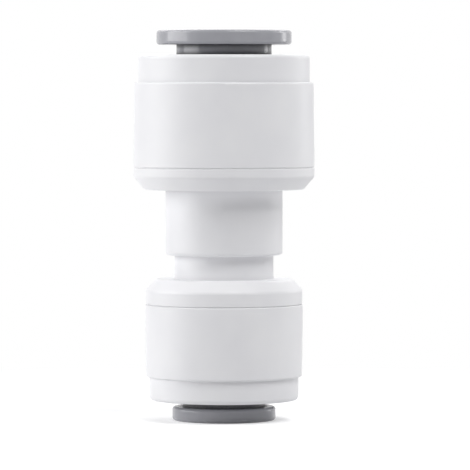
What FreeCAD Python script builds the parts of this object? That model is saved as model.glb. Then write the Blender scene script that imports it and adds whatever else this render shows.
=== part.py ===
"""Straight reducing push-in coupling for plastic tube.

A moulded body has a spigot at each end. The cap on each spigot traps an O-ring, a loose
spacer washer and a collet whose sprung fingers carry stainless teeth. The large end
points up (+Z), and the small end stands on z = 0. Sizes are millimetres and degrees.

Each end is drawn in its own frame: r is the distance from the axis and s the height
outwards from the seam where the cap meets the body. One set of functions makes both ends.
"""

import FreeCAD, Part
import math
import os

import Sketcher
from FreeCAD import Placement, Rotation, Vector

# Driving sizes of the ends: name, large end, small end.
END_SIZES = [
    ("tube_od", 9.525, 7.94),
    # body
    ("spigot_length", 4.2, 3.5),
    ("spigot_wall", 1.4, 1.2),
    ("flange_inset", 0.0, 0.07),
    ("flange_rim", 1.13, 1.7),
    ("bevel_height", 1.47, 1.25),
    ("bevel_depth", 1.28, 1.16),
    ("bevel_round", 0.45, 0.5),
    ("barrel_wall", 1.975, 1.71),
    ("barrel_length", 7.61, 2.82),
    ("stop_offset", 1.76, 0.24),
    # cap
    ("cap_wall", 2.0, 1.865),
    ("cap_draft", 0.11, 0.11),
    ("cap_length", 9.9, 8.46),
    ("step_inset", 0.46, 0.4),
    ("step_length", 3.17, 2.73),
    ("cap_end_round", 0.45, 0.5),
    ("throat_length", 4.2, 3.5),
    # collet
    ("collet_wall", 0.68, 0.65),
    ("collet_rim", 2.325, 1.31),
    ("collet_flange", 1.67, 1.62),
    ("collet_gap", 1.2, 0.73),
    ("finger_count", 6, 4),
    ("slot_width", 1.1, 1.0),
    ("slot_cover", 2.3, 1.9),
    # grip teeth
    ("tooth_bite", 0.14, 0.13),
    ("tooth_thickness", 0.3, 0.28),
    ("tooth_height", 1.5, 1.5),
    ("tooth_rise", 0.75, 0.65),
    ("tooth_root", 0.85, 0.75),
    ("tooth_angle", 34, 50),
    # seal and washer
    ("o_ring_section", 2.42, 2.2),
    ("seal_floor", 1.1, 1.0),
    ("washer_thickness", 1.0, 0.9),
]

# Sizes and clearances that both ends share.
COMMON_SIZES = [
    ("passage_d", 6.0),
    ("tube_clearance", 0.0875),
    ("bore_clearance", 0.1075),
    ("seal_clearance", 0.03),
    ("seal_gap", 0.04),
    ("socket_clearance", 0.05),
    ("neck_clearance", 0.15),
    ("cam_clearance", 0.2),
    ("cam_lip", 0.15),
    ("washer_clearance", 0.05),
    ("washer_bore_clearance", 0.19),
    ("washer_chamfer", 0.15),
    ("ledge_gap", 0.1),
    ("nose_gap", 0.3),
    ("nose_height", 0.75),
    ("nose_taper", 0.5),
    ("head_land", 0.3),
    ("tooth_seat_clearance", 0.02),
    ("tooth_side_clearance", 0.3),
    ("seat_lead_in", 0.3),
    ("collet_lead_in", 0.45),
    ("collet_round", 0.35),
    ("cap_edge_round", 0.25),
    ("hole_round", 0.15),
    ("seam_chamfer", 0.12),
    ("barrel_round", 0.35),
    ("root_round", 0.08),
]

FULL_TURN = 360.0
HALF_TURN = 180.0
START_TURN = 1.0  # a turn of zero would lose its axis before the expression sets the angle
EDGE_TOLERANCE = 1e-4

document = FreeCAD.newDocument("PushFitCoupling")
sheet = document.addObject("Spreadsheet::Sheet", "Sizes")


# ---------------------------------------------------------------- sizes


def fill_sheet():
    """Writes each size as a plain number in a row of its own, with its name as alias."""
    rows = list(COMMON_SIZES)
    for name, large_value, small_value in END_SIZES:
        rows.append((f"large_{name}", large_value))
        rows.append((f"small_{name}", small_value))
    for row, (name, number) in enumerate(rows, start=1):
        sheet.set(f"A{row}", name)
        sheet.set(f"B{row}", str(number))
        sheet.setAlias(f"B{row}", name)
    document.recompute()


def common(name):
    """The expression for a size that both ends share."""
    return f"Sizes.{name}"


def value(expression):
    """The number that an expression has now."""
    return float(sheet.evalExpression(expression))


class End:
    """The sizes of one end as expressions, each worked out from the driving sizes."""

    def __init__(self, name, direction):
        self.name = name
        self.direction = direction
        tube_r = f"{self.size('tube_od')} / 2"

        # radii, from the tube outwards
        self.seat_r = f"({tube_r} + {common('tube_clearance')})"
        self.bore_r = f"({tube_r} + {common('bore_clearance')})"
        self.tip_r = f"({tube_r} - {self.size('tooth_bite')})"
        self.neck_r = f"({self.bore_r} + {self.size('collet_wall')})"
        self.hole_r = f"({self.neck_r} + {common('neck_clearance')})"
        self.collet_r = f"({self.neck_r} + {self.size('collet_rim')})"
        self.ring_r = f"({self.tip_r} + {common('seal_clearance')} + {self.size('o_ring_section')} / 2)"
        self.counterbore_r = (
            f"({self.ring_r} + {self.size('o_ring_section')} / 2 + {common('seal_clearance')})"
        )
        self.washer_r = f"({self.counterbore_r} - {common('washer_clearance')})"
        self.cam_r = f"({self.counterbore_r} - {common('cam_lip')})"
        self.spigot_r = f"({self.counterbore_r} + {self.size('spigot_wall')})"
        self.socket_r = f"({self.spigot_r} + {common('socket_clearance')})"
        self.cap_r = f"({self.socket_r} + {self.size('cap_wall')})"
        self.flange_r = f"({self.cap_r} - {self.size('flange_inset')})"
        self.barrel_r = f"({self.seat_r} + {self.size('barrel_wall')})"

        # heights outwards from the seam
        self.ring_s = (
            f"({common('seal_gap')} + {self.size('o_ring_section')} / 2 - {self.size('seal_floor')})"
        )
        self.washer_s = (
            f"({self.ring_s} + {self.size('o_ring_section')} / 2 + {common('seal_gap')})"
        )
        self.washer_top_s = f"({self.washer_s} + {self.size('washer_thickness')})"
        self.ledge_s = f"({self.size('spigot_length')} + {common('ledge_gap')})"
        self.cap_end_s = f"({self.size('cap_length')} + {self.size('step_length')})"
        self.throat_s = f"({self.cap_end_s} - {self.size('throat_length')})"
        self.nose_s = (
            f"({self.washer_top_s} + {self.size('collet_gap')} + {common('nose_gap')})"
        )
        self.head_s = f"({self.nose_s} + {common('nose_height')} + {common('head_land')})"
        self.slot_end_s = f"({self.cap_end_s} - {self.size('slot_cover')})"
        self.collet_s = f"({self.cap_end_s} + {self.size('collet_gap')})"
        self.collet_end_s = f"({self.collet_s} + {self.size('collet_flange')})"

        # the cam cone in the cap, and the finger heads that run parallel to it
        self.cam_slope = (
            f"(({self.cam_r} - {self.hole_r}) / ({self.throat_s} - {self.ledge_s}))"
        )
        self.head_r = (
            f"({self.hole_r} - {common('cam_clearance')}"
            f" + ({self.throat_s} - {self.head_s}) * {self.cam_slope})"
        )
        self.head_top_s = (
            f"({self.throat_s} - ({common('cam_clearance')} - {common('neck_clearance')})"
            f" / {self.cam_slope})"
        )

        # height of the seam above the step between the two barrels
        self.seam_height = (
            f"({self.size('flange_rim')} + {self.size('bevel_height')}"
            f" + {self.size('barrel_length')})"
        )

    def size(self, name):
        """The expression for one of this end's driving sizes."""
        return f"Sizes.{self.name}_{name}"

    def label(self, piece):
        return f"{self.name}_{piece}"


# ---------------------------------------------------------------- drawing helpers


def origin_feature(body, role):
    """An origin plane or axis of a body."""
    return next(item for item in body.Origin.OriginFeatures if item.Role == role)


def new_body(label):
    body = document.addObject("PartDesign::Body", label)
    body.Label = label
    return body


def new_sketch(body, name, role="XZ_Plane"):
    """An empty sketch on one of the body's origin planes."""
    sketch = body.newObject("Sketcher::SketchObject", name)
    sketch.AttachmentSupport = [(origin_feature(body, role), "")]
    sketch.MapMode = "FlatFace"
    return sketch


def tie_point(sketch, geometry, place, across, up):
    """Ties a point of the sketch to its distances from the origin."""
    for kind, expression in (("DistanceX", across), ("DistanceY", up)):
        constraint = Sketcher.Constraint(kind, -1, 1, geometry, place, value(expression))
        index = sketch.addConstraint(constraint)
        sketch.setExpression(f"Constraints[{index}]", expression)


def draw_outline(sketch, corners):
    """A closed outline of straight lines, each corner tied to its expressions."""
    places = [Vector(value(across), value(up), 0) for across, up in corners]
    count = len(corners)
    for index in range(count):
        line = Part.LineSegment(places[index], places[(index + 1) % count])
        sketch.addGeometry(line)
    for index in range(count):
        following = (index + 1) % count
        sketch.addConstraint(Sketcher.Constraint("Coincident", index, 2, following, 1))
    for index, (across, up) in enumerate(corners):
        tie_point(sketch, index, 1, across, up)


def check_cut(feature):
    """Stops the build if a cut left the volume of what it cuts as it was."""
    if feature.Shape.Volume >= feature.BaseFeature.Shape.Volume:
        raise RuntimeError(f"{feature.Name} cut nothing")


def turn_section(body, kind, name, corners):
    """Turns a half section all the way round the axis, as a Revolution or a Groove."""
    sketch = new_sketch(body, f"{name}_section")
    draw_outline(sketch, corners)
    feature = body.newObject(f"PartDesign::{kind}", name)
    feature.Profile = sketch
    feature.ReferenceAxis = (sketch, ["V_Axis"])
    feature.Angle = FULL_TURN
    document.recompute()
    if kind == "Groove":
        check_cut(feature)
    return feature


def pattern_round_axis(body, feature, count):
    """Repeats a feature evenly round the axis."""
    pattern = body.newObject("PartDesign::PolarPattern", f"{feature.Name}_pattern")
    pattern.Originals = [feature]
    pattern.Axis = (origin_feature(body, "Z_Axis"), [""])
    pattern.Angle = FULL_TURN
    pattern.setExpression("Occurrences", count)
    body.Tip = pattern
    document.recompute()
    return pattern


def edges_at(shape, rings):
    """The names of the round edges at the given radii and heights."""
    names = []
    for radius, height in [(value(across), value(up)) for across, up in rings]:
        for index, edge in enumerate(shape.Edges, start=1):
            box = edge.BoundBox
            flat = box.ZLength < EDGE_TOLERANCE and abs(box.ZMin - height) < EDGE_TOLERANCE
            points = [vertex.Point for vertex in edge.Vertexes]
            on_ring = all(
                abs(Vector(point.x, point.y, 0).Length - radius) < EDGE_TOLERANCE for point in points
            )
            if flat and on_ring:
                names.append(f"Edge{index}")
    return names


def ease_edges(body, kind, name, size, rings):
    """A Fillet or Chamfer of one named size on round edges."""
    base = body.Tip
    feature = body.newObject(f"PartDesign::{kind}", name)
    feature.Base = (base, edges_at(base.Shape, rings))
    feature.setExpression("Radius" if kind == "Fillet" else "Size", size)
    document.recompute()
    return feature


def place_on_seam(piece, end):
    """Moves a piece from its end's own frame to the coupling's."""
    height = seam_z(end)
    piece.Placement = end_placement(end)
    piece.setExpression("Placement.Base.z", height)


def end_placement(end):
    turn = 0.0 if end.direction > 0 else HALF_TURN
    return Placement(Vector(0, 0, value(seam_z(end))), Rotation(Vector(1, 0, 0), turn))


def step_z():
    """Height of the step between the barrels above the small collet's end face."""
    return f"({small.collet_end_s} + {small.seam_height})"


def seam_z(end):
    return f"({step_z()} + {end.direction} * {end.seam_height})"


# ---------------------------------------------------------------- main body


def body_half(end):
    """Half of the body's outline, from the barrel step out to the spigot's end face."""
    underside = end.size("barrel_length")
    bevel_top = f"({underside} + {end.size('bevel_height')})"
    spigot_end = f"({end.seam_height} + {end.size('spigot_length')})"
    corners = [
        (end.barrel_r, "0"),
        (end.barrel_r, underside),
        (f"({end.flange_r} - {end.size('bevel_depth')})", underside),
        (end.flange_r, bevel_top),
        (end.flange_r, end.seam_height),
        (end.spigot_r, end.seam_height),
        (end.spigot_r, spigot_end),
        ("0", spigot_end),
    ]
    return [(across, f"({end.direction} * {up})") for across, up in corners]


def socket_section(end):
    """The space for the O-ring and the washer, and the seat for the tube's end."""
    mouth = f"({end.direction} * ({end.seam_height} + {end.size('spigot_length')}))"
    floor = f"({end.direction} * ({end.seam_height} - {end.size('seal_floor')}))"
    stop = f"({end.direction} * {end.size('stop_offset')})"
    return [
        ("0", mouth),
        (end.counterbore_r, mouth),
        (end.counterbore_r, floor),
        (end.seat_r, floor),
        (end.seat_r, stop),
        ("0", stop),
    ]


def passage_section():
    """The water way between the two tube stops."""
    passage_r = f"({common('passage_d')} / 2)"
    top = f"({large.direction} * {large.size('stop_offset')})"
    bottom = f"({small.direction} * {small.size('stop_offset')})"
    return [("0", top), (passage_r, top), (passage_r, bottom), ("0", bottom)]


def make_main_body():
    """One moulding: two flanges with spigots, joined by the stepped barrel."""
    body = new_body("main_body")
    outline = body_half(large) + body_half(small)[::-1]
    turn_section(body, "Revolution", "barrel_and_flanges", outline)
    for end in (large, small):
        turn_section(body, "Groove", end.label("socket"), socket_section(end))
    turn_section(body, "Groove", "water_passage", passage_section())

    for end in (large, small):
        underside = f"({end.direction} * {end.size('barrel_length')})"
        bevel_top = f"({end.direction} * ({end.size('barrel_length')} + {end.size('bevel_height')}))"
        seam = f"({end.direction} * {end.seam_height})"
        floor = f"({end.direction} * ({end.seam_height} - {end.size('seal_floor')}))"
        bevel_edges = [
            (end.flange_r, bevel_top),
            (f"({end.flange_r} - {end.size('bevel_depth')})", underside),
        ]
        bevel_round = end.size("bevel_round")
        ease_edges(body, "Fillet", end.label("bevel_round"), bevel_round, bevel_edges)
        root_edge = [(end.barrel_r, underside)]
        ease_edges(body, "Fillet", end.label("barrel_root"), common("root_round"), root_edge)
        seam_edge = [(end.flange_r, seam)]
        ease_edges(body, "Chamfer", end.label("seam_edge"), common("seam_chamfer"), seam_edge)
        seat_edge = [(end.seat_r, floor)]
        ease_edges(body, "Chamfer", end.label("seat_lead_in"), common("seat_lead_in"), seat_edge)
    step_edge = [(large.barrel_r, "0")]
    ease_edges(body, "Fillet", "barrel_step", common("barrel_round"), step_edge)

    body.setExpression("Placement.Base.z", step_z())
    return body


# ---------------------------------------------------------------- pieces of one end


def make_end_cap(end):
    """The cap: a socket for the spigot, a ledge, the cam cone and the throat."""
    body = new_body(end.label("end_cap"))
    main_end = end.size("cap_length")
    drafted_r = f"({end.cap_r} - {end.size('cap_draft')})"
    step_r = f"({drafted_r} - {end.size('step_inset')})"
    corners = [
        (end.socket_r, "0"),
        (end.cap_r, "0"),
        (drafted_r, main_end),
        (step_r, main_end),
        (step_r, end.cap_end_s),
        (end.hole_r, end.cap_end_s),
        (end.hole_r, end.throat_s),
        (end.cam_r, end.ledge_s),
        (end.socket_r, end.ledge_s),
    ]
    turn_section(body, "Revolution", end.label("cap_shell"), corners)
    seam_edge = [(end.cap_r, "0")]
    ease_edges(body, "Chamfer", end.label("cap_seam_edge"), common("seam_chamfer"), seam_edge)
    main_edge = [(drafted_r, main_end)]
    ease_edges(body, "Fillet", end.label("cap_edge"), common("cap_edge_round"), main_edge)
    end_edge = [(step_r, end.cap_end_s)]
    ease_edges(body, "Fillet", end.label("cap_end_edge"), end.size("cap_end_round"), end_edge)
    hole_edge = [(end.hole_r, end.cap_end_s)]
    ease_edges(body, "Fillet", end.label("hole_edge"), common("hole_round"), hole_edge)
    place_on_seam(body, end)
    return body


def tooth_section(end, clearance):
    """A slanted strip: its tip points inwards and towards the tube's stop."""
    tip_s = f"({end.nose_s} + {end.size('tooth_height')})"
    root_s = f"({tip_s} + {end.size('tooth_rise')})"
    root_r = f"({end.bore_r} + {end.size('tooth_root')} + {clearance})"
    thickness = end.size("tooth_thickness")
    return [
        (end.tip_r, f"({tip_s} - {clearance})"),
        (root_r, f"({root_s} - {clearance})"),
        (root_r, f"({root_s} + {thickness} + {clearance})"),
        (end.tip_r, f"({tip_s} + {thickness} + {clearance})"),
    ]


def turn_tooth(body, kind, name, end, clearance, angle):
    """One tooth, or the seat for one, centred on a finger."""
    sketch = new_sketch(body, f"{name}_section")
    sketch.AttachmentOffset = Placement(Vector(), Rotation(Vector(0, 1, 0), START_TURN))
    half_pitch = f"{HALF_TURN} / {end.size('finger_count')}"
    sketch.setExpression("AttachmentOffset.Rotation.Angle", half_pitch)
    draw_outline(sketch, tooth_section(end, clearance))
    feature = body.newObject(f"PartDesign::{kind}", name)
    feature.Profile = sketch
    feature.ReferenceAxis = (sketch, ["V_Axis"])
    feature.Midplane = True
    feature.setExpression("Angle", angle)
    document.recompute()
    if kind == "Groove":
        check_cut(feature)
    return feature


def draw_slot(sketch, end):
    """A slot outline with a round end, open below the collet's nose."""
    half = f"({end.size('slot_width')} / 2)"
    foot = f"({end.nose_s} - {end.size('slot_width')})"
    centre = f"({end.slot_end_s} - {half})"
    radius = value(half)
    low_left, low_right = Vector(-radius, value(foot), 0), Vector(radius, value(foot), 0)
    high_left, high_right = Vector(-radius, value(centre), 0), Vector(radius, value(centre), 0)
    round_end = Part.Circle(Vector(0, value(centre), 0), Vector(0, 0, 1), radius)
    sketch.addGeometry(Part.LineSegment(low_left, low_right))
    sketch.addGeometry(Part.LineSegment(low_right, high_right))
    sketch.addGeometry(Part.ArcOfCircle(round_end, 0, math.pi))
    sketch.addGeometry(Part.LineSegment(high_left, low_left))
    for line, following in ((0, 1), (1, 2), (2, 3), (3, 0)):
        sketch.addConstraint(Sketcher.Constraint("Coincident", line, 2, following, 1))
    tie_point(sketch, 0, 1, f"(-1 * {half})", foot)
    tie_point(sketch, 1, 1, half, foot)
    tie_point(sketch, 2, 1, half, centre)
    tie_point(sketch, 3, 1, f"(-1 * {half})", centre)
    index = sketch.addConstraint(Sketcher.Constraint("DistanceY", -1, 1, 2, 3, value(centre)))
    sketch.setExpression(f"Constraints[{index}]", centre)


def make_collet(end):
    """The collet: a flange to press on, a neck, and slotted fingers with cone heads."""
    body = new_body(end.label("collet"))
    corners = [
        (end.bore_r, end.nose_s),
        (f"({end.head_r} - {common('nose_taper')})", end.nose_s),
        (end.head_r, f"({end.nose_s} + {common('nose_height')})"),
        (end.head_r, end.head_s),
        (end.neck_r, end.head_top_s),
        (end.neck_r, end.collet_s),
        (end.collet_r, end.collet_s),
        (end.collet_r, end.collet_end_s),
        (end.bore_r, end.collet_end_s),
    ]
    turn_section(body, "Revolution", end.label("collet_sleeve"), corners)
    rim_edges = [(end.collet_r, end.collet_s), (end.collet_r, end.collet_end_s)]
    ease_edges(body, "Fillet", end.label("rim_edges"), common("collet_round"), rim_edges)
    mouth_edge = [(end.bore_r, end.collet_end_s)]
    ease_edges(body, "Chamfer", end.label("mouth_lead_in"), common("collet_lead_in"), mouth_edge)

    pocket_angle = f"{end.size('tooth_angle')} + {common('tooth_side_clearance')}"
    seat = turn_tooth(
        body, "Groove", end.label("tooth_seat"), end, common("tooth_seat_clearance"), pocket_angle
    )
    pattern_round_axis(body, seat, end.size("finger_count"))

    sketch = new_sketch(body, end.label("slot_outline"), "YZ_Plane")
    draw_slot(sketch, end)
    slot = body.newObject("PartDesign::Pocket", end.label("slot"))
    slot.Profile = sketch
    slot.Reversed = True
    slot.setExpression("Length", end.collet_r)
    document.recompute()
    check_cut(slot)
    pattern_round_axis(body, slot, end.size("finger_count"))
    place_on_seam(body, end)
    return body


def make_grip_teeth(end):
    """The stainless teeth, one in each finger, as separate solids."""
    body = new_body(end.label("grip_teeth"))
    tooth = turn_tooth(body, "Revolution", end.label("tooth"), end, "0", end.size("tooth_angle"))
    pattern_round_axis(body, tooth, end.size("finger_count"))
    place_on_seam(body, end)
    return body


def make_o_ring(end):
    """The O-ring in the counterbore, drawn at the bore it is squeezed to."""
    ring = document.addObject("Part::Torus", end.label("o_ring"))
    ring.Label = end.label("o_ring")
    ring.setExpression("Radius1", end.ring_r)
    ring.setExpression("Radius2", f"{end.size('o_ring_section')} / 2")
    ring.setExpression("Placement.Base.z", f"{seam_z(end)} + {end.direction} * {end.ring_s}")
    return ring


def make_spacer_washer(end):
    """The loose washer between the O-ring and the collet's nose."""
    body = new_body(end.label("spacer_washer"))
    inner_r = f"({end.seat_r} + {common('washer_bore_clearance')})"
    corners = [
        (inner_r, end.washer_s),
        (end.washer_r, end.washer_s),
        (end.washer_r, end.washer_top_s),
        (inner_r, end.washer_top_s),
    ]
    turn_section(body, "Revolution", end.label("washer_ring"), corners)
    outer_edges = [(end.washer_r, end.washer_s), (end.washer_r, end.washer_top_s)]
    chamfer = common("washer_chamfer")
    ease_edges(body, "Chamfer", end.label("washer_edges"), chamfer, outer_edges)
    place_on_seam(body, end)
    return body


# ---------------------------------------------------------------- the coupling

large = End("large", 1)
small = End("small", -1)

fill_sheet()
pieces = [make_main_body()]
for coupling_end in (large, small):
    pieces.append(make_end_cap(coupling_end))
    pieces.append(make_collet(coupling_end))
    pieces.append(make_grip_teeth(coupling_end))
    pieces.append(make_o_ring(coupling_end))
    pieces.append(make_spacer_washer(coupling_end))
document.recompute()

faults = [
    item.Label
    for item in document.Objects
    if any(word in item.State for word in ("Invalid", "Error"))
]
if faults:
    raise RuntimeError(f"objects that failed to build: {faults}")

os.makedirs("parts", exist_ok=True)
for piece in pieces:
    if piece.Shape.isNull() or not piece.Shape.isValid():
        raise RuntimeError(f"no valid shape: {piece.Label}")
    piece.Shape.exportStep(f"parts/{piece.Label}.step")
    box = piece.Shape.BoundBox
    print(
        f"{piece.Label}: {len(piece.Shape.Solids)} solids, {piece.Shape.Volume:.2f} mm3,"
        f" z {box.ZMin:.2f} to {box.ZMax:.2f}, width {box.XLength:.2f}"
    )
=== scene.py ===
# %% [markdown]
# # A push fit coupling in a white studio
# This coupling joins two plastic tubes of different sizes without a tool. A white moulding
# runs from end to end, a cap closes each of its sockets, and a grey collet slides and turns
# in each cap. Pushing the collet in lets go of the tube.
#
# The shape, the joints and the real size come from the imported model. This notebook gives
# each piece the surface that its material and its making leave on it, and then builds a
# small studio: a camera, a floor, white surroundings and soft lamps.

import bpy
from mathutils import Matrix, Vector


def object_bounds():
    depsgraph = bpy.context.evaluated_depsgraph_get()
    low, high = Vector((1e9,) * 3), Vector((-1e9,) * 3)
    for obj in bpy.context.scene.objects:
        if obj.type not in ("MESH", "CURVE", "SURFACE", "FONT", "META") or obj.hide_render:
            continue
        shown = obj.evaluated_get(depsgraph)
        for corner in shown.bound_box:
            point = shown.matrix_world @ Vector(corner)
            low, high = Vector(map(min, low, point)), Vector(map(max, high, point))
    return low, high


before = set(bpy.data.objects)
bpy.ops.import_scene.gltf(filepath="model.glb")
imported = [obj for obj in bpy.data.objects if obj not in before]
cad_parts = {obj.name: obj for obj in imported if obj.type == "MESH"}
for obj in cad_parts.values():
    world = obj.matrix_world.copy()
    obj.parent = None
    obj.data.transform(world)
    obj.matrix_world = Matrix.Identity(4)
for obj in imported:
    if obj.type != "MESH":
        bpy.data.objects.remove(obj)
cad_low, cad_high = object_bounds()
print("pieces:", ", ".join(sorted(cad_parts)))

# %% [markdown]
# ## Modules and units
# Blender measures in metres, and a part this small is easier to think about in
# millimetres. One name, `MM`, turns one into the other wherever a length is written.

# %% Modules and units
import math

import bmesh
import bpy
from mathutils import Matrix, Vector

MM = 0.001
size_mm = [round((high - low) / MM, 2) for low, high in zip(cad_low, cad_high)]
print("size in mm:", size_mm)

# %% [markdown]
# ## The camera
# A product picture of a part this small is taken with a long lens from about half a
# metre away, which keeps its round edges almost flat. A wide lens close up would bend
# them. The camera looks down by two degrees, so the rings near the top show as straight
# lines and those near the foot as gentle curves. The focal length isn't chosen by eye: it
# follows from the distance and from how many millimetres the picture is to take in.

# %% The camera
CAMERA_DISTANCE = 478 * MM
CAMERA_ELEVATION = math.radians(2.08)
VIEW_WIDTH = 54.83 * MM
VIEW_CENTRE = Vector((1.28 * MM, 0.0, 21.6 * MM))

camera_data = bpy.data.cameras.new("studio_camera")
camera_data.lens = camera_data.sensor_width * CAMERA_DISTANCE / VIEW_WIDTH
camera = bpy.data.objects.new("studio_camera", camera_data)
bpy.context.scene.collection.objects.link(camera)
towards_camera = Vector((0.0, -math.cos(CAMERA_ELEVATION), math.sin(CAMERA_ELEVATION)))
camera.location = VIEW_CENTRE + towards_camera * CAMERA_DISTANCE
camera.rotation_mode = "QUATERNION"
camera.rotation_quaternion = (-towards_camera).to_track_quat("-Z", "Y")
bpy.context.scene.camera = camera
print("lens in mm:", round(camera_data.lens, 1))

# %% [markdown]
# ## Colours
# Colours below are written as the hex values of a paint chart or a design program, which
# follow the sRGB curve. Light adds up on a straight scale instead, so each colour is
# straightened by one function before it goes into a material or a lamp.

# %% Colours
CURVE_FOOT = 0.04045
CURVE_FOOT_SLOPE = 12.92
CURVE_OFFSET = 0.055
CURVE_POWER = 2.4


def linear(hex_colour):
    """An sRGB hex colour as linear red, green, blue and alpha."""
    straight = []
    for start in (1, 3, 5):
        channel = int(hex_colour[start : start + 2], 16) / 255
        if channel <= CURVE_FOOT:
            straight.append(channel / CURVE_FOOT_SLOPE)
        else:
            straight.append(((channel + CURVE_OFFSET) / (1 + CURVE_OFFSET)) ** CURVE_POWER)
    return (*straight, 1.0)


WHITE = linear("#FFFFFF")
print("mid grey, straightened:", round(linear("#808080")[0], 3))

# %% [markdown]
# ## Nodes
# Each finish is a small tree of nodes. Wiring nodes by hand takes three or four lines for
# each, so one function adds a node, sets it up, and fills or links its inputs. The Mix node
# keeps a set of sockets for each kind of value, so its colour sockets go by number.

# %% Nodes
MIX_FACTOR, MIX_A, MIX_B, MIX_RESULT = 0, 6, 7, 2


def add_node(tree, kind, inputs=None, **settings):
    """Adds a node, sets its properties, and fills or links its inputs."""
    made = tree.nodes.new(kind)
    for name, setting in settings.items():
        setattr(made, name, setting)
    for name, given in (inputs or {}).items():
        socket = made.inputs[name]
        if isinstance(given, bpy.types.NodeSocket):
            tree.links.new(given, socket)
        else:
            socket.default_value = given
    return made


def new_material(name):
    """A material with an empty node tree."""
    made = bpy.data.materials.new(name)
    made.use_nodes = True
    made.node_tree.nodes.clear()
    return made


def give(material, *names):
    """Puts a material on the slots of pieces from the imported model."""
    for name in names:
        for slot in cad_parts[name].material_slots:
            slot.material = material
    print(f"{material.name}: {len(material.node_tree.nodes)} nodes, on {', '.join(names)}")


# %% [markdown]
# ## Patterns that keep their real size
# Noise gives a surface its clouds and its grain. The noise is read in the piece's own
# coordinates, which are metres, so its scale says how many cells fit in a metre. Writing the
# width of one cell in millimetres instead keeps every pattern at a size that can be checked
# against the real thing. Noise stays near its middle, so where a mask has to go all the way
# from nought to one, the range that it really covers is stretched. Detail is the number of
# finer layers on top of the first: two leave soft clouds, and three a crisper grain.

# %% Pattern sizes
NOISE_LOW, NOISE_HIGH = 0.3, 0.7
SOFT_DETAIL, CRISP_DETAIL = 2.0, 3.0


def cells(width_mm):
    """The scale at which a pattern's cells are this wide."""
    return 1.0 / (width_mm * MM)


print("cells in a metre at a quarter of a millimetre:", round(cells(0.25)))

# %% [markdown]
# ## Edges and corners
# Handling shows first on the edges, which rub smooth and pale. The inner corners get painted
# shade: their colour is darkened where another wall is near. A mesh could carry painted masks
# for both, but those depend on how fine it is. Ambient occlusion finds them from the shape
# alone: seen from inside the solid, an edge is where the outside is near, and seen from
# outside, a corner is where another wall is near. The reach says how far from the edge or the
# corner the mask extends. Occlusion is one in the open and falls towards nought where it is
# shut in, so each mask has a value at which it is full and one at which it ends.

# %% Edges and corners
EDGE_REACH = 0.45 * MM
EDGE_FULL, EDGE_END = 0.55, 0.95
CORNER_REACH = 0.7 * MM
CORNER_FULL, CORNER_END = 0.6, 0.9
MASK_SAMPLES = 6


def edge_mask(tree, most):
    """A mask that rises to this much on outer edges, and is nought on open faces."""
    near = add_node(
        tree,
        "ShaderNodeAmbientOcclusion",
        {"Distance": EDGE_REACH},
        inside=True,
        only_local=True,
        samples=MASK_SAMPLES,
    )
    inputs = {"Value": near.outputs["AO"], "From Min": EDGE_FULL, "From Max": EDGE_END}
    inputs |= {"To Min": most, "To Max": 0.0}
    return add_node(tree, "ShaderNodeMapRange", inputs).outputs["Result"]


def corner_mask(tree, most):
    """A mask that rises to this much in inner corners, and is nought on open faces."""
    inputs = {"Distance": CORNER_REACH}
    near = add_node(tree, "ShaderNodeAmbientOcclusion", inputs, samples=MASK_SAMPLES)
    inputs = {"Value": near.outputs["AO"], "From Min": CORNER_FULL, "From Max": CORNER_END}
    inputs |= {"To Min": most, "To Max": 0.0}
    return add_node(tree, "ShaderNodeMapRange", inputs).outputs["Result"]


print("reach in mm:", EDGE_REACH / MM, "at edges and", CORNER_REACH / MM, "in corners")

# %% [markdown]
# ## White polypropylene, moulded in a spark-eroded tool
# The body and the two caps are polypropylene with white pigment. The tool that they
# are moulded in is cut by sparks, which leaves a fine satin grain: the surface is smooth to
# the hand, and its highlight is wide and soft. The pigment isn't quite evenly mixed, so
# the white drifts by a shade over a few millimetres. The grain of such a tool is under a
# tenth of a millimetre, too fine to show here, so it is drawn a quarter of a millimetre wide.
# The edges rub slightly smoother than the faces, and painted shade lightly greys inner corners.

# %% White polypropylene
PIGMENT_WHITE, DRIFTED_WHITE = "#F1F1F3", "#ECECEF"
PIGMENT_CLOUD_MM = 6.0
# Painted shade: inner corners are mixed towards this grey, by at most this share.
WHITE_CORNER_SHADE, WHITE_SHADE_AMOUNT = "#8F8E90", 0.13
SATIN_LOW, SATIN_HIGH = 0.36, 0.46
EDGE_POLISH = 0.1
SPARK_GRAIN_MM = 0.25
SPARK_GRAIN_DEPTH, SPARK_GRAIN_STRENGTH = 0.004 * MM, 0.15
POLYPROPYLENE_IOR = 1.49


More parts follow.
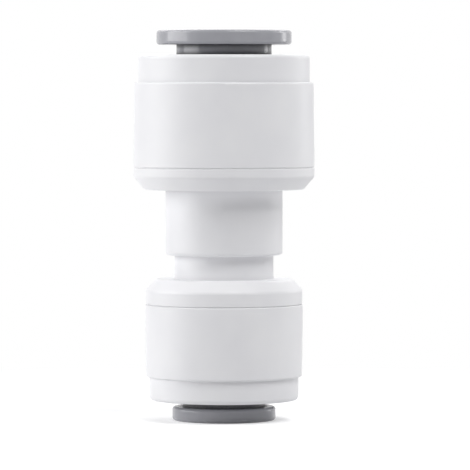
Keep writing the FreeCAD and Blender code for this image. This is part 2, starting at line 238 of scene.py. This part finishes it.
def moulded_white():
    """Satin white plastic, smoother on its edges, with painted shade in its inner corners."""
    material = new_material("moulded_white_polypropylene")
    tree = material.node_tree
    place = add_node(tree, "ShaderNodeTexCoord").outputs["Object"]
    inputs = {"Vector": place, "Scale": cells(PIGMENT_CLOUD_MM), "Detail": SOFT_DETAIL}
    cloud = add_node(tree, "ShaderNodeTexNoise", inputs).outputs["Fac"]
    inputs = {"Value": cloud, "From Min": NOISE_LOW, "From Max": NOISE_HIGH}
    cloud = add_node(tree, "ShaderNodeMapRange", inputs).outputs["Result"]
    inputs = {MIX_FACTOR: cloud, MIX_A: linear(PIGMENT_WHITE), MIX_B: linear(DRIFTED_WHITE)}
    tint = add_node(tree, "ShaderNodeMix", inputs, data_type="RGBA").outputs[MIX_RESULT]
    # Painted shade: darkens the white where another wall is near.
    painted_white_shade = corner_mask(tree, WHITE_SHADE_AMOUNT)
    inputs = {MIX_FACTOR: painted_white_shade, MIX_A: tint, MIX_B: linear(WHITE_CORNER_SHADE)}
    colour = add_node(tree, "ShaderNodeMix", inputs, data_type="RGBA").outputs[MIX_RESULT]

    inputs = {"Vector": place, "Scale": cells(SPARK_GRAIN_MM), "Detail": CRISP_DETAIL}
    grain = add_node(tree, "ShaderNodeTexNoise", inputs).outputs["Fac"]
    inputs = {"Value": grain, "From Min": NOISE_LOW, "From Max": NOISE_HIGH}
    inputs |= {"To Min": SATIN_LOW, "To Max": SATIN_HIGH}
    satin = add_node(tree, "ShaderNodeMapRange", inputs).outputs["Result"]
    inputs = {0: satin, 1: edge_mask(tree, EDGE_POLISH)}
    rough = add_node(tree, "ShaderNodeMath", inputs, operation="SUBTRACT").outputs["Value"]
    inputs = {"Height": grain, "Strength": SPARK_GRAIN_STRENGTH, "Distance": SPARK_GRAIN_DEPTH}
    bump = add_node(tree, "ShaderNodeBump", inputs).outputs["Normal"]

    inputs = {"Base Color": colour, "Roughness": rough, "Normal": bump}
    inputs |= {"IOR": POLYPROPYLENE_IOR}
    plastic = add_node(tree, "ShaderNodeBsdfPrincipled", inputs).outputs["BSDF"]
    add_node(tree, "ShaderNodeOutputMaterial", {"Surface": plastic})
    return material


give(moulded_white(), "main_body", "large_end_cap", "small_end_cap")

# %% [markdown]
# ## Grey acetal, moulded in a polished tool
# The collets are acetal, which slides well and springs back, so their fingers can be
# thin. Their tool is polished, so the plastic comes out glossy, with soft reflections of the
# lamps down each side. Acetal cools unevenly, which leaves the gloss faintly rippled and the
# grey a little cloudy. The rims are what a thumb presses on: they wear paler and duller.
# The neck runs in the cap, and is painted with dark shade there and made duller, as are the
# other inner corners. The foot that the coupling stands on meets the table in a corner too,
# but the painted shade is kept off it, so it fades in above the foot.

# %% Grey acetal
ACETAL_GREY, DRIFTED_GREY = "#A5A5AB", "#9D9EA4"
ACETAL_CLOUD_MM = 2.5
WORN_GREY, WEAR_AMOUNT = "#C6C6CC", 0.5
# Painted shade: inner corners are mixed towards this black, by at most this share.
COLLET_SHADE_BLACK, COLLET_SHADE_AMOUNT = "#100F15", 1.0
# Between these heights over the table, the painted shade fades in above the foot.
FOOT_BOTTOM, FOOT_TOP = 0.3 * MM, 0.8 * MM
POLISH_LOW, POLISH_HIGH = 0.15, 0.21
POLISH_GRAIN_MM = 0.2
WEAR_ROUGHENS, COLLET_SHADE_ROUGHENS = 0.12, 0.3
RIPPLE_MM = 1.2
RIPPLE_DEPTH, RIPPLE_STRENGTH = 0.006 * MM, 0.2
ACETAL_IOR = 1.48


def moulded_grey():
    """Glossy grey plastic, pale on worn rims, with painted shade where the cap shuts it in."""
    material = new_material("moulded_grey_acetal")
    tree = material.node_tree
    place = add_node(tree, "ShaderNodeTexCoord").outputs["Object"]
    inputs = {"Vector": place, "Scale": cells(ACETAL_CLOUD_MM), "Detail": SOFT_DETAIL}
    cloud = add_node(tree, "ShaderNodeTexNoise", inputs).outputs["Fac"]
    inputs = {"Value": cloud, "From Min": NOISE_LOW, "From Max": NOISE_HIGH}
    cloud = add_node(tree, "ShaderNodeMapRange", inputs).outputs["Result"]
    inputs = {MIX_FACTOR: cloud, MIX_A: linear(ACETAL_GREY), MIX_B: linear(DRIFTED_GREY)}
    tint = add_node(tree, "ShaderNodeMix", inputs, data_type="RGBA").outputs[MIX_RESULT]
    wear = edge_mask(tree, WEAR_AMOUNT)
    inputs = {MIX_FACTOR: wear, MIX_A: tint, MIX_B: linear(WORN_GREY)}
    rubbed = add_node(tree, "ShaderNodeMix", inputs, data_type="RGBA").outputs[MIX_RESULT]

    # Painted shade: the corner mask, kept off the foot where it meets the table.
    height = add_node(tree, "ShaderNodeSeparateXYZ", {"Vector": place}).outputs["Z"]
    inputs = {"Value": height, "From Min": FOOT_BOTTOM, "From Max": FOOT_TOP}
    off_table = add_node(tree, "ShaderNodeMapRange", inputs).outputs["Result"]
    inputs = {0: corner_mask(tree, COLLET_SHADE_AMOUNT), 1: off_table}
    painted_collet_shade = add_node(tree, "ShaderNodeMath", inputs, operation="MULTIPLY").outputs["Value"]
    inputs = {MIX_FACTOR: painted_collet_shade, MIX_A: rubbed, MIX_B: linear(COLLET_SHADE_BLACK)}
    colour = add_node(tree, "ShaderNodeMix", inputs, data_type="RGBA").outputs[MIX_RESULT]

    inputs = {"Vector": place, "Scale": cells(POLISH_GRAIN_MM), "Detail": SOFT_DETAIL}
    grain = add_node(tree, "ShaderNodeTexNoise", inputs).outputs["Fac"]
    inputs = {"Value": grain, "From Min": NOISE_LOW, "From Max": NOISE_HIGH}
    inputs |= {"To Min": POLISH_LOW, "To Max": POLISH_HIGH}
    gloss = add_node(tree, "ShaderNodeMapRange", inputs).outputs["Result"]
    inputs = {0: wear, 1: WEAR_ROUGHENS, 2: gloss}
    dulled = add_node(tree, "ShaderNodeMath", inputs, operation="MULTIPLY_ADD").outputs["Value"]
    # The roughness rises where the shade is painted.
    inputs = {0: painted_collet_shade, 1: COLLET_SHADE_ROUGHENS, 2: dulled}
    rough = add_node(tree, "ShaderNodeMath", inputs, operation="MULTIPLY_ADD").outputs["Value"]
    inputs = {"Vector": place, "Scale": cells(RIPPLE_MM), "Detail": SOFT_DETAIL}
    ripple = add_node(tree, "ShaderNodeTexNoise", inputs).outputs["Fac"]
    inputs = {"Height": ripple, "Strength": RIPPLE_STRENGTH, "Distance": RIPPLE_DEPTH}
    bump = add_node(tree, "ShaderNodeBump", inputs).outputs["Normal"]

    inputs = {"Base Color": colour, "Roughness": rough, "Normal": bump, "IOR": ACETAL_IOR}
    plastic = add_node(tree, "ShaderNodeBsdfPrincipled", inputs).outputs["BSDF"]
    add_node(tree, "ShaderNodeOutputMaterial", {"Surface": plastic})
    return material


give(moulded_grey(), "large_collet", "small_collet")

# %% [markdown]
# ## Stainless steel, stamped from rolled strip
# The teeth in the collets' fingers bite the tube. They are stamped from rolled stainless
# strip, and rolling leaves fine lines that run one way. Noise stretched along Z draws those
# lines: it breaks up the roughness and gives a shallow bump, which pulls the highlight out
# across them. The lines of real strip are a few hundredths of a millimetre apart. These are
# drawn about twice as wide, which still holds up when the camera comes close.

# %% Stainless steel
STEEL_PALE, STEEL_DARK = "#CFCFD0", "#B4B5B8"
STEEL_SMOOTH, STEEL_ROUGH = 0.22, 0.38
ROLLED_LINE_MM = 0.06
ROLLED_LINE_DEPTH, ROLLED_LINE_STRENGTH = 0.003 * MM, 0.25
STRETCH_ALONG_Z = (1.0, 1.0, 0.06)


def rolled_steel():
    """Bright metal with fine lines along Z."""
    material = new_material("rolled_stainless_steel")
    tree = material.node_tree
    place = add_node(tree, "ShaderNodeTexCoord").outputs["Object"]
    inputs = {"Vector": place, "Scale": STRETCH_ALONG_Z}
    drawn_out = add_node(tree, "ShaderNodeMapping", inputs).outputs["Vector"]
    inputs = {"Vector": drawn_out, "Scale": cells(ROLLED_LINE_MM), "Detail": SOFT_DETAIL}
    lines = add_node(tree, "ShaderNodeTexNoise", inputs).outputs["Fac"]
    inputs = {"Value": lines, "From Min": NOISE_LOW, "From Max": NOISE_HIGH}
    tone = add_node(tree, "ShaderNodeMapRange", inputs).outputs["Result"]
    inputs = {MIX_FACTOR: tone, MIX_A: linear(STEEL_PALE), MIX_B: linear(STEEL_DARK)}
    colour = add_node(tree, "ShaderNodeMix", inputs, data_type="RGBA").outputs[MIX_RESULT]
    inputs = {"Value": tone, "To Min": STEEL_SMOOTH, "To Max": STEEL_ROUGH}
    rough = add_node(tree, "ShaderNodeMapRange", inputs).outputs["Result"]
    inputs = {"Height": lines, "Strength": ROLLED_LINE_STRENGTH, "Distance": ROLLED_LINE_DEPTH}
    bump = add_node(tree, "ShaderNodeBump", inputs).outputs["Normal"]
    inputs = {"Base Color": colour, "Roughness": rough, "Normal": bump, "Metallic": 1.0}
    metal = add_node(tree, "ShaderNodeBsdfPrincipled", inputs).outputs["BSDF"]
    add_node(tree, "ShaderNodeOutputMaterial", {"Surface": metal})
    return material


give(rolled_steel(), "large_grip_teeth", "small_grip_teeth")

# %% [markdown]
# ## Black nitrile rubber, moulded and greased
# The O-rings are nitrile rubber, which carbon makes black. They go in with a smear of
# silicone grease, so patches of a dull, slightly dusty black lie beside patches that shine.
# Rubber takes every scratch of its mould, which gives it a fine grain all over.

# %% Black nitrile rubber
GREASE_PATCH_MM = 1.8
PATCH_LOW, PATCH_HIGH = 0.42, 0.58
DUSTY_BLACK, GREASED_BLACK = "#2B2B2D", "#1A1A1B"
RUBBER_DULL, RUBBER_SHINY = 0.62, 0.28
RUBBER_GRAIN_MM = 0.12
RUBBER_GRAIN_DEPTH, RUBBER_GRAIN_STRENGTH = 0.004 * MM, 0.3
NITRILE_IOR = 1.52


def greased_rubber():
    """Black rubber, part dull and part shiny with grease."""
    material = new_material("greased_nitrile_rubber")
    tree = material.node_tree
    place = add_node(tree, "ShaderNodeTexCoord").outputs["Object"]
    inputs = {"Vector": place, "Scale": cells(GREASE_PATCH_MM), "Detail": SOFT_DETAIL}
    patches = add_node(tree, "ShaderNodeTexNoise", inputs).outputs["Fac"]
    inputs = {"Value": patches, "From Min": PATCH_LOW, "From Max": PATCH_HIGH}
    grease = add_node(tree, "ShaderNodeMapRange", inputs).outputs["Result"]
    inputs = {MIX_FACTOR: grease, MIX_A: linear(DUSTY_BLACK), MIX_B: linear(GREASED_BLACK)}
    colour = add_node(tree, "ShaderNodeMix", inputs, data_type="RGBA").outputs[MIX_RESULT]
    inputs = {"Value": grease, "To Min": RUBBER_DULL, "To Max": RUBBER_SHINY}
    rough = add_node(tree, "ShaderNodeMapRange", inputs).outputs["Result"]
    inputs = {"Vector": place, "Scale": cells(RUBBER_GRAIN_MM), "Detail": SOFT_DETAIL}
    grain = add_node(tree, "ShaderNodeTexNoise", inputs).outputs["Fac"]
    inputs = {"Height": grain, "Distance": RUBBER_GRAIN_DEPTH}
    inputs |= {"Strength": RUBBER_GRAIN_STRENGTH}
    bump = add_node(tree, "ShaderNodeBump", inputs).outputs["Normal"]
    inputs = {"Base Color": colour, "Roughness": rough, "Normal": bump, "IOR": NITRILE_IOR}
    rubber = add_node(tree, "ShaderNodeBsdfPrincipled", inputs).outputs["BSDF"]
    add_node(tree, "ShaderNodeOutputMaterial", {"Surface": rubber})
    return material


give(greased_rubber(), "large_o_ring", "small_o_ring")

# %% [markdown]
# ## Natural nylon, moulded
# The spacer washers are plain nylon with no pigment: a warm, milky white that lets a little
# light in. That glow comes from light scattered under the surface, so the shader mixes some
# of it in, to a depth of half a millimetre. Nylon takes up water unevenly, and its colour
# drifts towards straw as it does.

# %% Natural nylon
NYLON_MILK, NYLON_STRAW = "#E6E1D6", "#DCD5C5"
WATER_DRIFT_MM = 3.0
NYLON_SMOOTH, NYLON_ROUGH = 0.38, 0.5
NYLON_GRAIN_MM = 0.2
NYLON_GRAIN_DEPTH, NYLON_GRAIN_STRENGTH = 0.004 * MM, 0.2
GLOW_AMOUNT, GLOW_DEPTH = 0.25, 0.5 * MM
NYLON_IOR = 1.53


def natural_nylon():
    """Milky plastic that lets a little light in."""
    material = new_material("moulded_natural_nylon")
    tree = material.node_tree
    place = add_node(tree, "ShaderNodeTexCoord").outputs["Object"]
    inputs = {"Vector": place, "Scale": cells(WATER_DRIFT_MM), "Detail": SOFT_DETAIL}
    drift = add_node(tree, "ShaderNodeTexNoise", inputs).outputs["Fac"]
    inputs = {"Value": drift, "From Min": NOISE_LOW, "From Max": NOISE_HIGH}
    drift = add_node(tree, "ShaderNodeMapRange", inputs).outputs["Result"]
    inputs = {MIX_FACTOR: drift, MIX_A: linear(NYLON_MILK), MIX_B: linear(NYLON_STRAW)}
    colour = add_node(tree, "ShaderNodeMix", inputs, data_type="RGBA").outputs[MIX_RESULT]
    inputs = {"Vector": place, "Scale": cells(NYLON_GRAIN_MM), "Detail": SOFT_DETAIL}
    grain = add_node(tree, "ShaderNodeTexNoise", inputs).outputs["Fac"]
    inputs = {"Value": grain, "From Min": NOISE_LOW, "From Max": NOISE_HIGH}
    inputs |= {"To Min": NYLON_SMOOTH, "To Max": NYLON_ROUGH}
    rough = add_node(tree, "ShaderNodeMapRange", inputs).outputs["Result"]
    inputs = {"Height": grain, "Strength": NYLON_GRAIN_STRENGTH, "Distance": NYLON_GRAIN_DEPTH}
    bump = add_node(tree, "ShaderNodeBump", inputs).outputs["Normal"]
    inputs = {"Base Color": colour, "Roughness": rough, "Normal": bump, "IOR": NYLON_IOR}
    inputs |= {"Subsurface Weight": GLOW_AMOUNT, "Subsurface Scale": GLOW_DEPTH}
    plastic = add_node(tree, "ShaderNodeBsdfPrincipled", inputs).outputs["BSDF"]
    add_node(tree, "ShaderNodeOutputMaterial", {"Surface": plastic})
    return material


give(natural_nylon(), "large_spacer_washer", "small_spacer_washer")

# %% [markdown]
# ## The floor
# The coupling stands on its small end on a wide white table. A disc is the simplest shape
# for it, because its rim is equally far away on every side. It lies a hair below the
# coupling's end face, because two faces in one plane would flicker through each other.

# %% The floor's sheet
FLOOR_RADIUS = 2.0
FLOOR_SIDES = 64
FLOOR_DROP = 0.01 * MM

floor_mesh = bpy.data.meshes.new("studio_floor")
sheet = bmesh.new()
bmesh.ops.create_circle(
    sheet,
    cap_ends=True,
    radius=FLOOR_RADIUS,
    segments=FLOOR_SIDES,
    matrix=Matrix.Translation((0.0, 0.0, -FLOOR_DROP)),
)
sheet.to_mesh(floor_mesh)
sheet.free()
floor = bpy.data.objects.new("studio_floor", floor_mesh)
bpy.context.scene.collection.objects.link(floor)
print("floor radius in m:", FLOOR_RADIUS)

# %% [markdown]
# ## Matt white paper
# The table is covered with pale matt paper. Seen this low, plain paper would fade to grey
# towards its far edge, and paper lit until it is white would light the object too much from
# below. So it lights the object as such paper does, and only the camera, mirrors and glass
# also see it glow: a little near the object, where its shadow has to show, and as white as
# the background further out.

# %% The floor's paper
PAPER_WHITE = "#E2E2E3"
NEAR_GLOW, FAR_GLOW = 0.45, 1.0
SHADOW_REACH = 30 * MM
WHITE_REACH = 90 * MM


def seen_directly(tree):
    """One for what the camera sees, itself or in a mirror or through glass."""
    path = add_node(tree, "ShaderNodeLightPath").outputs
    inputs = {0: path["Is Camera Ray"], 1: path["Is Glossy Ray"]}
    either = add_node(tree, "ShaderNodeMath", inputs, operation="MAXIMUM").outputs[0]
    inputs = {0: either, 1: path["Is Transmission Ray"]}
    return add_node(tree, "ShaderNodeMath", inputs, operation="MAXIMUM").outputs[0]


paper = new_material("matt_white_paper")
tree = paper.node_tree
place = add_node(tree, "ShaderNodeTexCoord").outputs["Object"]
from_middle = add_node(tree, "ShaderNodeVectorMath", {0: place}, operation="LENGTH")
inputs = {"Value": from_middle.outputs["Value"]}
inputs |= {"From Min": SHADOW_REACH, "From Max": WHITE_REACH}
far = add_node(tree, "ShaderNodeMapRange", inputs).outputs["Result"]
matt = add_node(tree, "ShaderNodeBsdfDiffuse", {"Color": linear(PAPER_WHITE)}).outputs[0]
inputs = {"Color": WHITE, "Strength": NEAR_GLOW}
low_glow = add_node(tree, "ShaderNodeEmission", inputs).outputs[0]
inputs = {"Color": WHITE, "Strength": FAR_GLOW}
full_glow = add_node(tree, "ShaderNodeEmission", inputs).outputs[0]
near_look = add_node(tree, "ShaderNodeAddShader", {0: matt, 1: low_glow}).outputs[0]
look = add_node(tree, "ShaderNodeMixShader", {0: far, 1: near_look, 2: full_glow}).outputs[0]
inputs = {0: seen_directly(tree), 1: matt, 2: look}
surface = add_node(tree, "ShaderNodeMixShader", inputs).outputs[0]
add_node(tree, "ShaderNodeOutputMaterial", {"Surface": surface})
floor_mesh.materials.append(paper)
print("paper nodes:", len(tree.nodes))

# %% [markdown]
# ## The white surroundings
# A white background lights an object from all round, and would wash out its shading. The
# world is therefore white only where it is looked at, directly or in a reflection, and
# gives off a small part of that as light, about three hundredths, so that a corner which no
# lamp reaches isn't quite black.

# %% The surroundings
WORLD_LIGHT = 0.03
WORLD_SHOWN = 1.0
world = bpy.data.worlds.new("white_studio")
bpy.context.scene.world = world
world.use_nodes = True
tree = world.node_tree
tree.nodes.clear()
inputs = {"Color": WHITE, "Strength": WORLD_LIGHT}
light = add_node(tree, "ShaderNodeBackground", inputs).outputs[0]
inputs = {"Color": WHITE, "Strength": WORLD_SHOWN}
shown = add_node(tree, "ShaderNodeBackground", inputs).outputs[0]
inputs = {0: seen_directly(tree), 1: light, 2: shown}
surroundings = add_node(tree, "ShaderNodeMixShader", inputs).outputs[0]
add_node(tree, "ShaderNodeOutputWorld", {"Surface": surroundings})
print("world light:", WORLD_LIGHT)

# %% [markdown]
# ## The lamps
# White plastic shows its roundness only by shading, so the light has to differ from side to
# side without a hard edge anywhere. Softboxes do that: large, even panels of light. The
# strongest stands on the left. A narrow strip behind and to the right draws the thin
# highlight down that edge. One stands high in front on the right, and lights what looks
# upwards. The last hangs behind the part, for the side that this camera doesn't see, so high
# that the flat top of the collet doesn't mirror it at a low view. All are half a metre away,
# and each is placed by its bearing from the camera and its height above the table, both as
# angles. All of them stay above the table, which would otherwise cut their light off.

# %% A softbox
MIDDLE = Vector((0.0, 0.0, 22.0 * MM))
LAMP_DISTANCE = 0.5


def softbox(name, bearing, elevation, width, height, watts):
    """A panel of light that faces the middle of the object."""
    turn, rise = math.radians(bearing), math.radians(elevation)
    level = Vector((math.sin(turn), -math.cos(turn), 0.0)) * math.cos(rise)
    outwards = level + Vector((0.0, 0.0, math.sin(rise)))
    lamp = bpy.data.lights.new(name, "AREA")
    lamp.shape = "RECTANGLE"
    lamp.size, lamp.size_y = width, height
    lamp.energy = watts
    made = bpy.data.objects.new(name, lamp)
    made.location = MIDDLE + outwards * LAMP_DISTANCE
    made.rotation_mode = "QUATERNION"
    made.rotation_quaternion = (-outwards).to_track_quat("-Z", "Y")
    bpy.context.scene.collection.objects.link(made)
    print(f"{name}: {watts} W at {bearing} degrees, {elevation} up")


# %% The lamps
softbox("left_softbox", bearing=-88, elevation=20, width=0.45, height=0.38, watts=2.03)
softbox("right_strip", bearing=124, elevation=15, width=0.12, height=0.27, watts=0.33)
softbox("top_softbox", bearing=42, elevation=54, width=0.30, height=0.30, watts=1.7)
softbox("back_softbox", bearing=180, elevation=47, width=0.50, height=0.40, watts=1.15)

# %% [markdown]
# ## How the picture is developed
# The Standard view shows a colour as it was written. The filmic looks would turn this white
# part grey, because they keep room above white for lights that this scene doesn't have.

# %% View
bpy.context.scene.view_settings.view_transform = "Standard"
print("view:", bpy.context.scene.view_settings.view_transform)
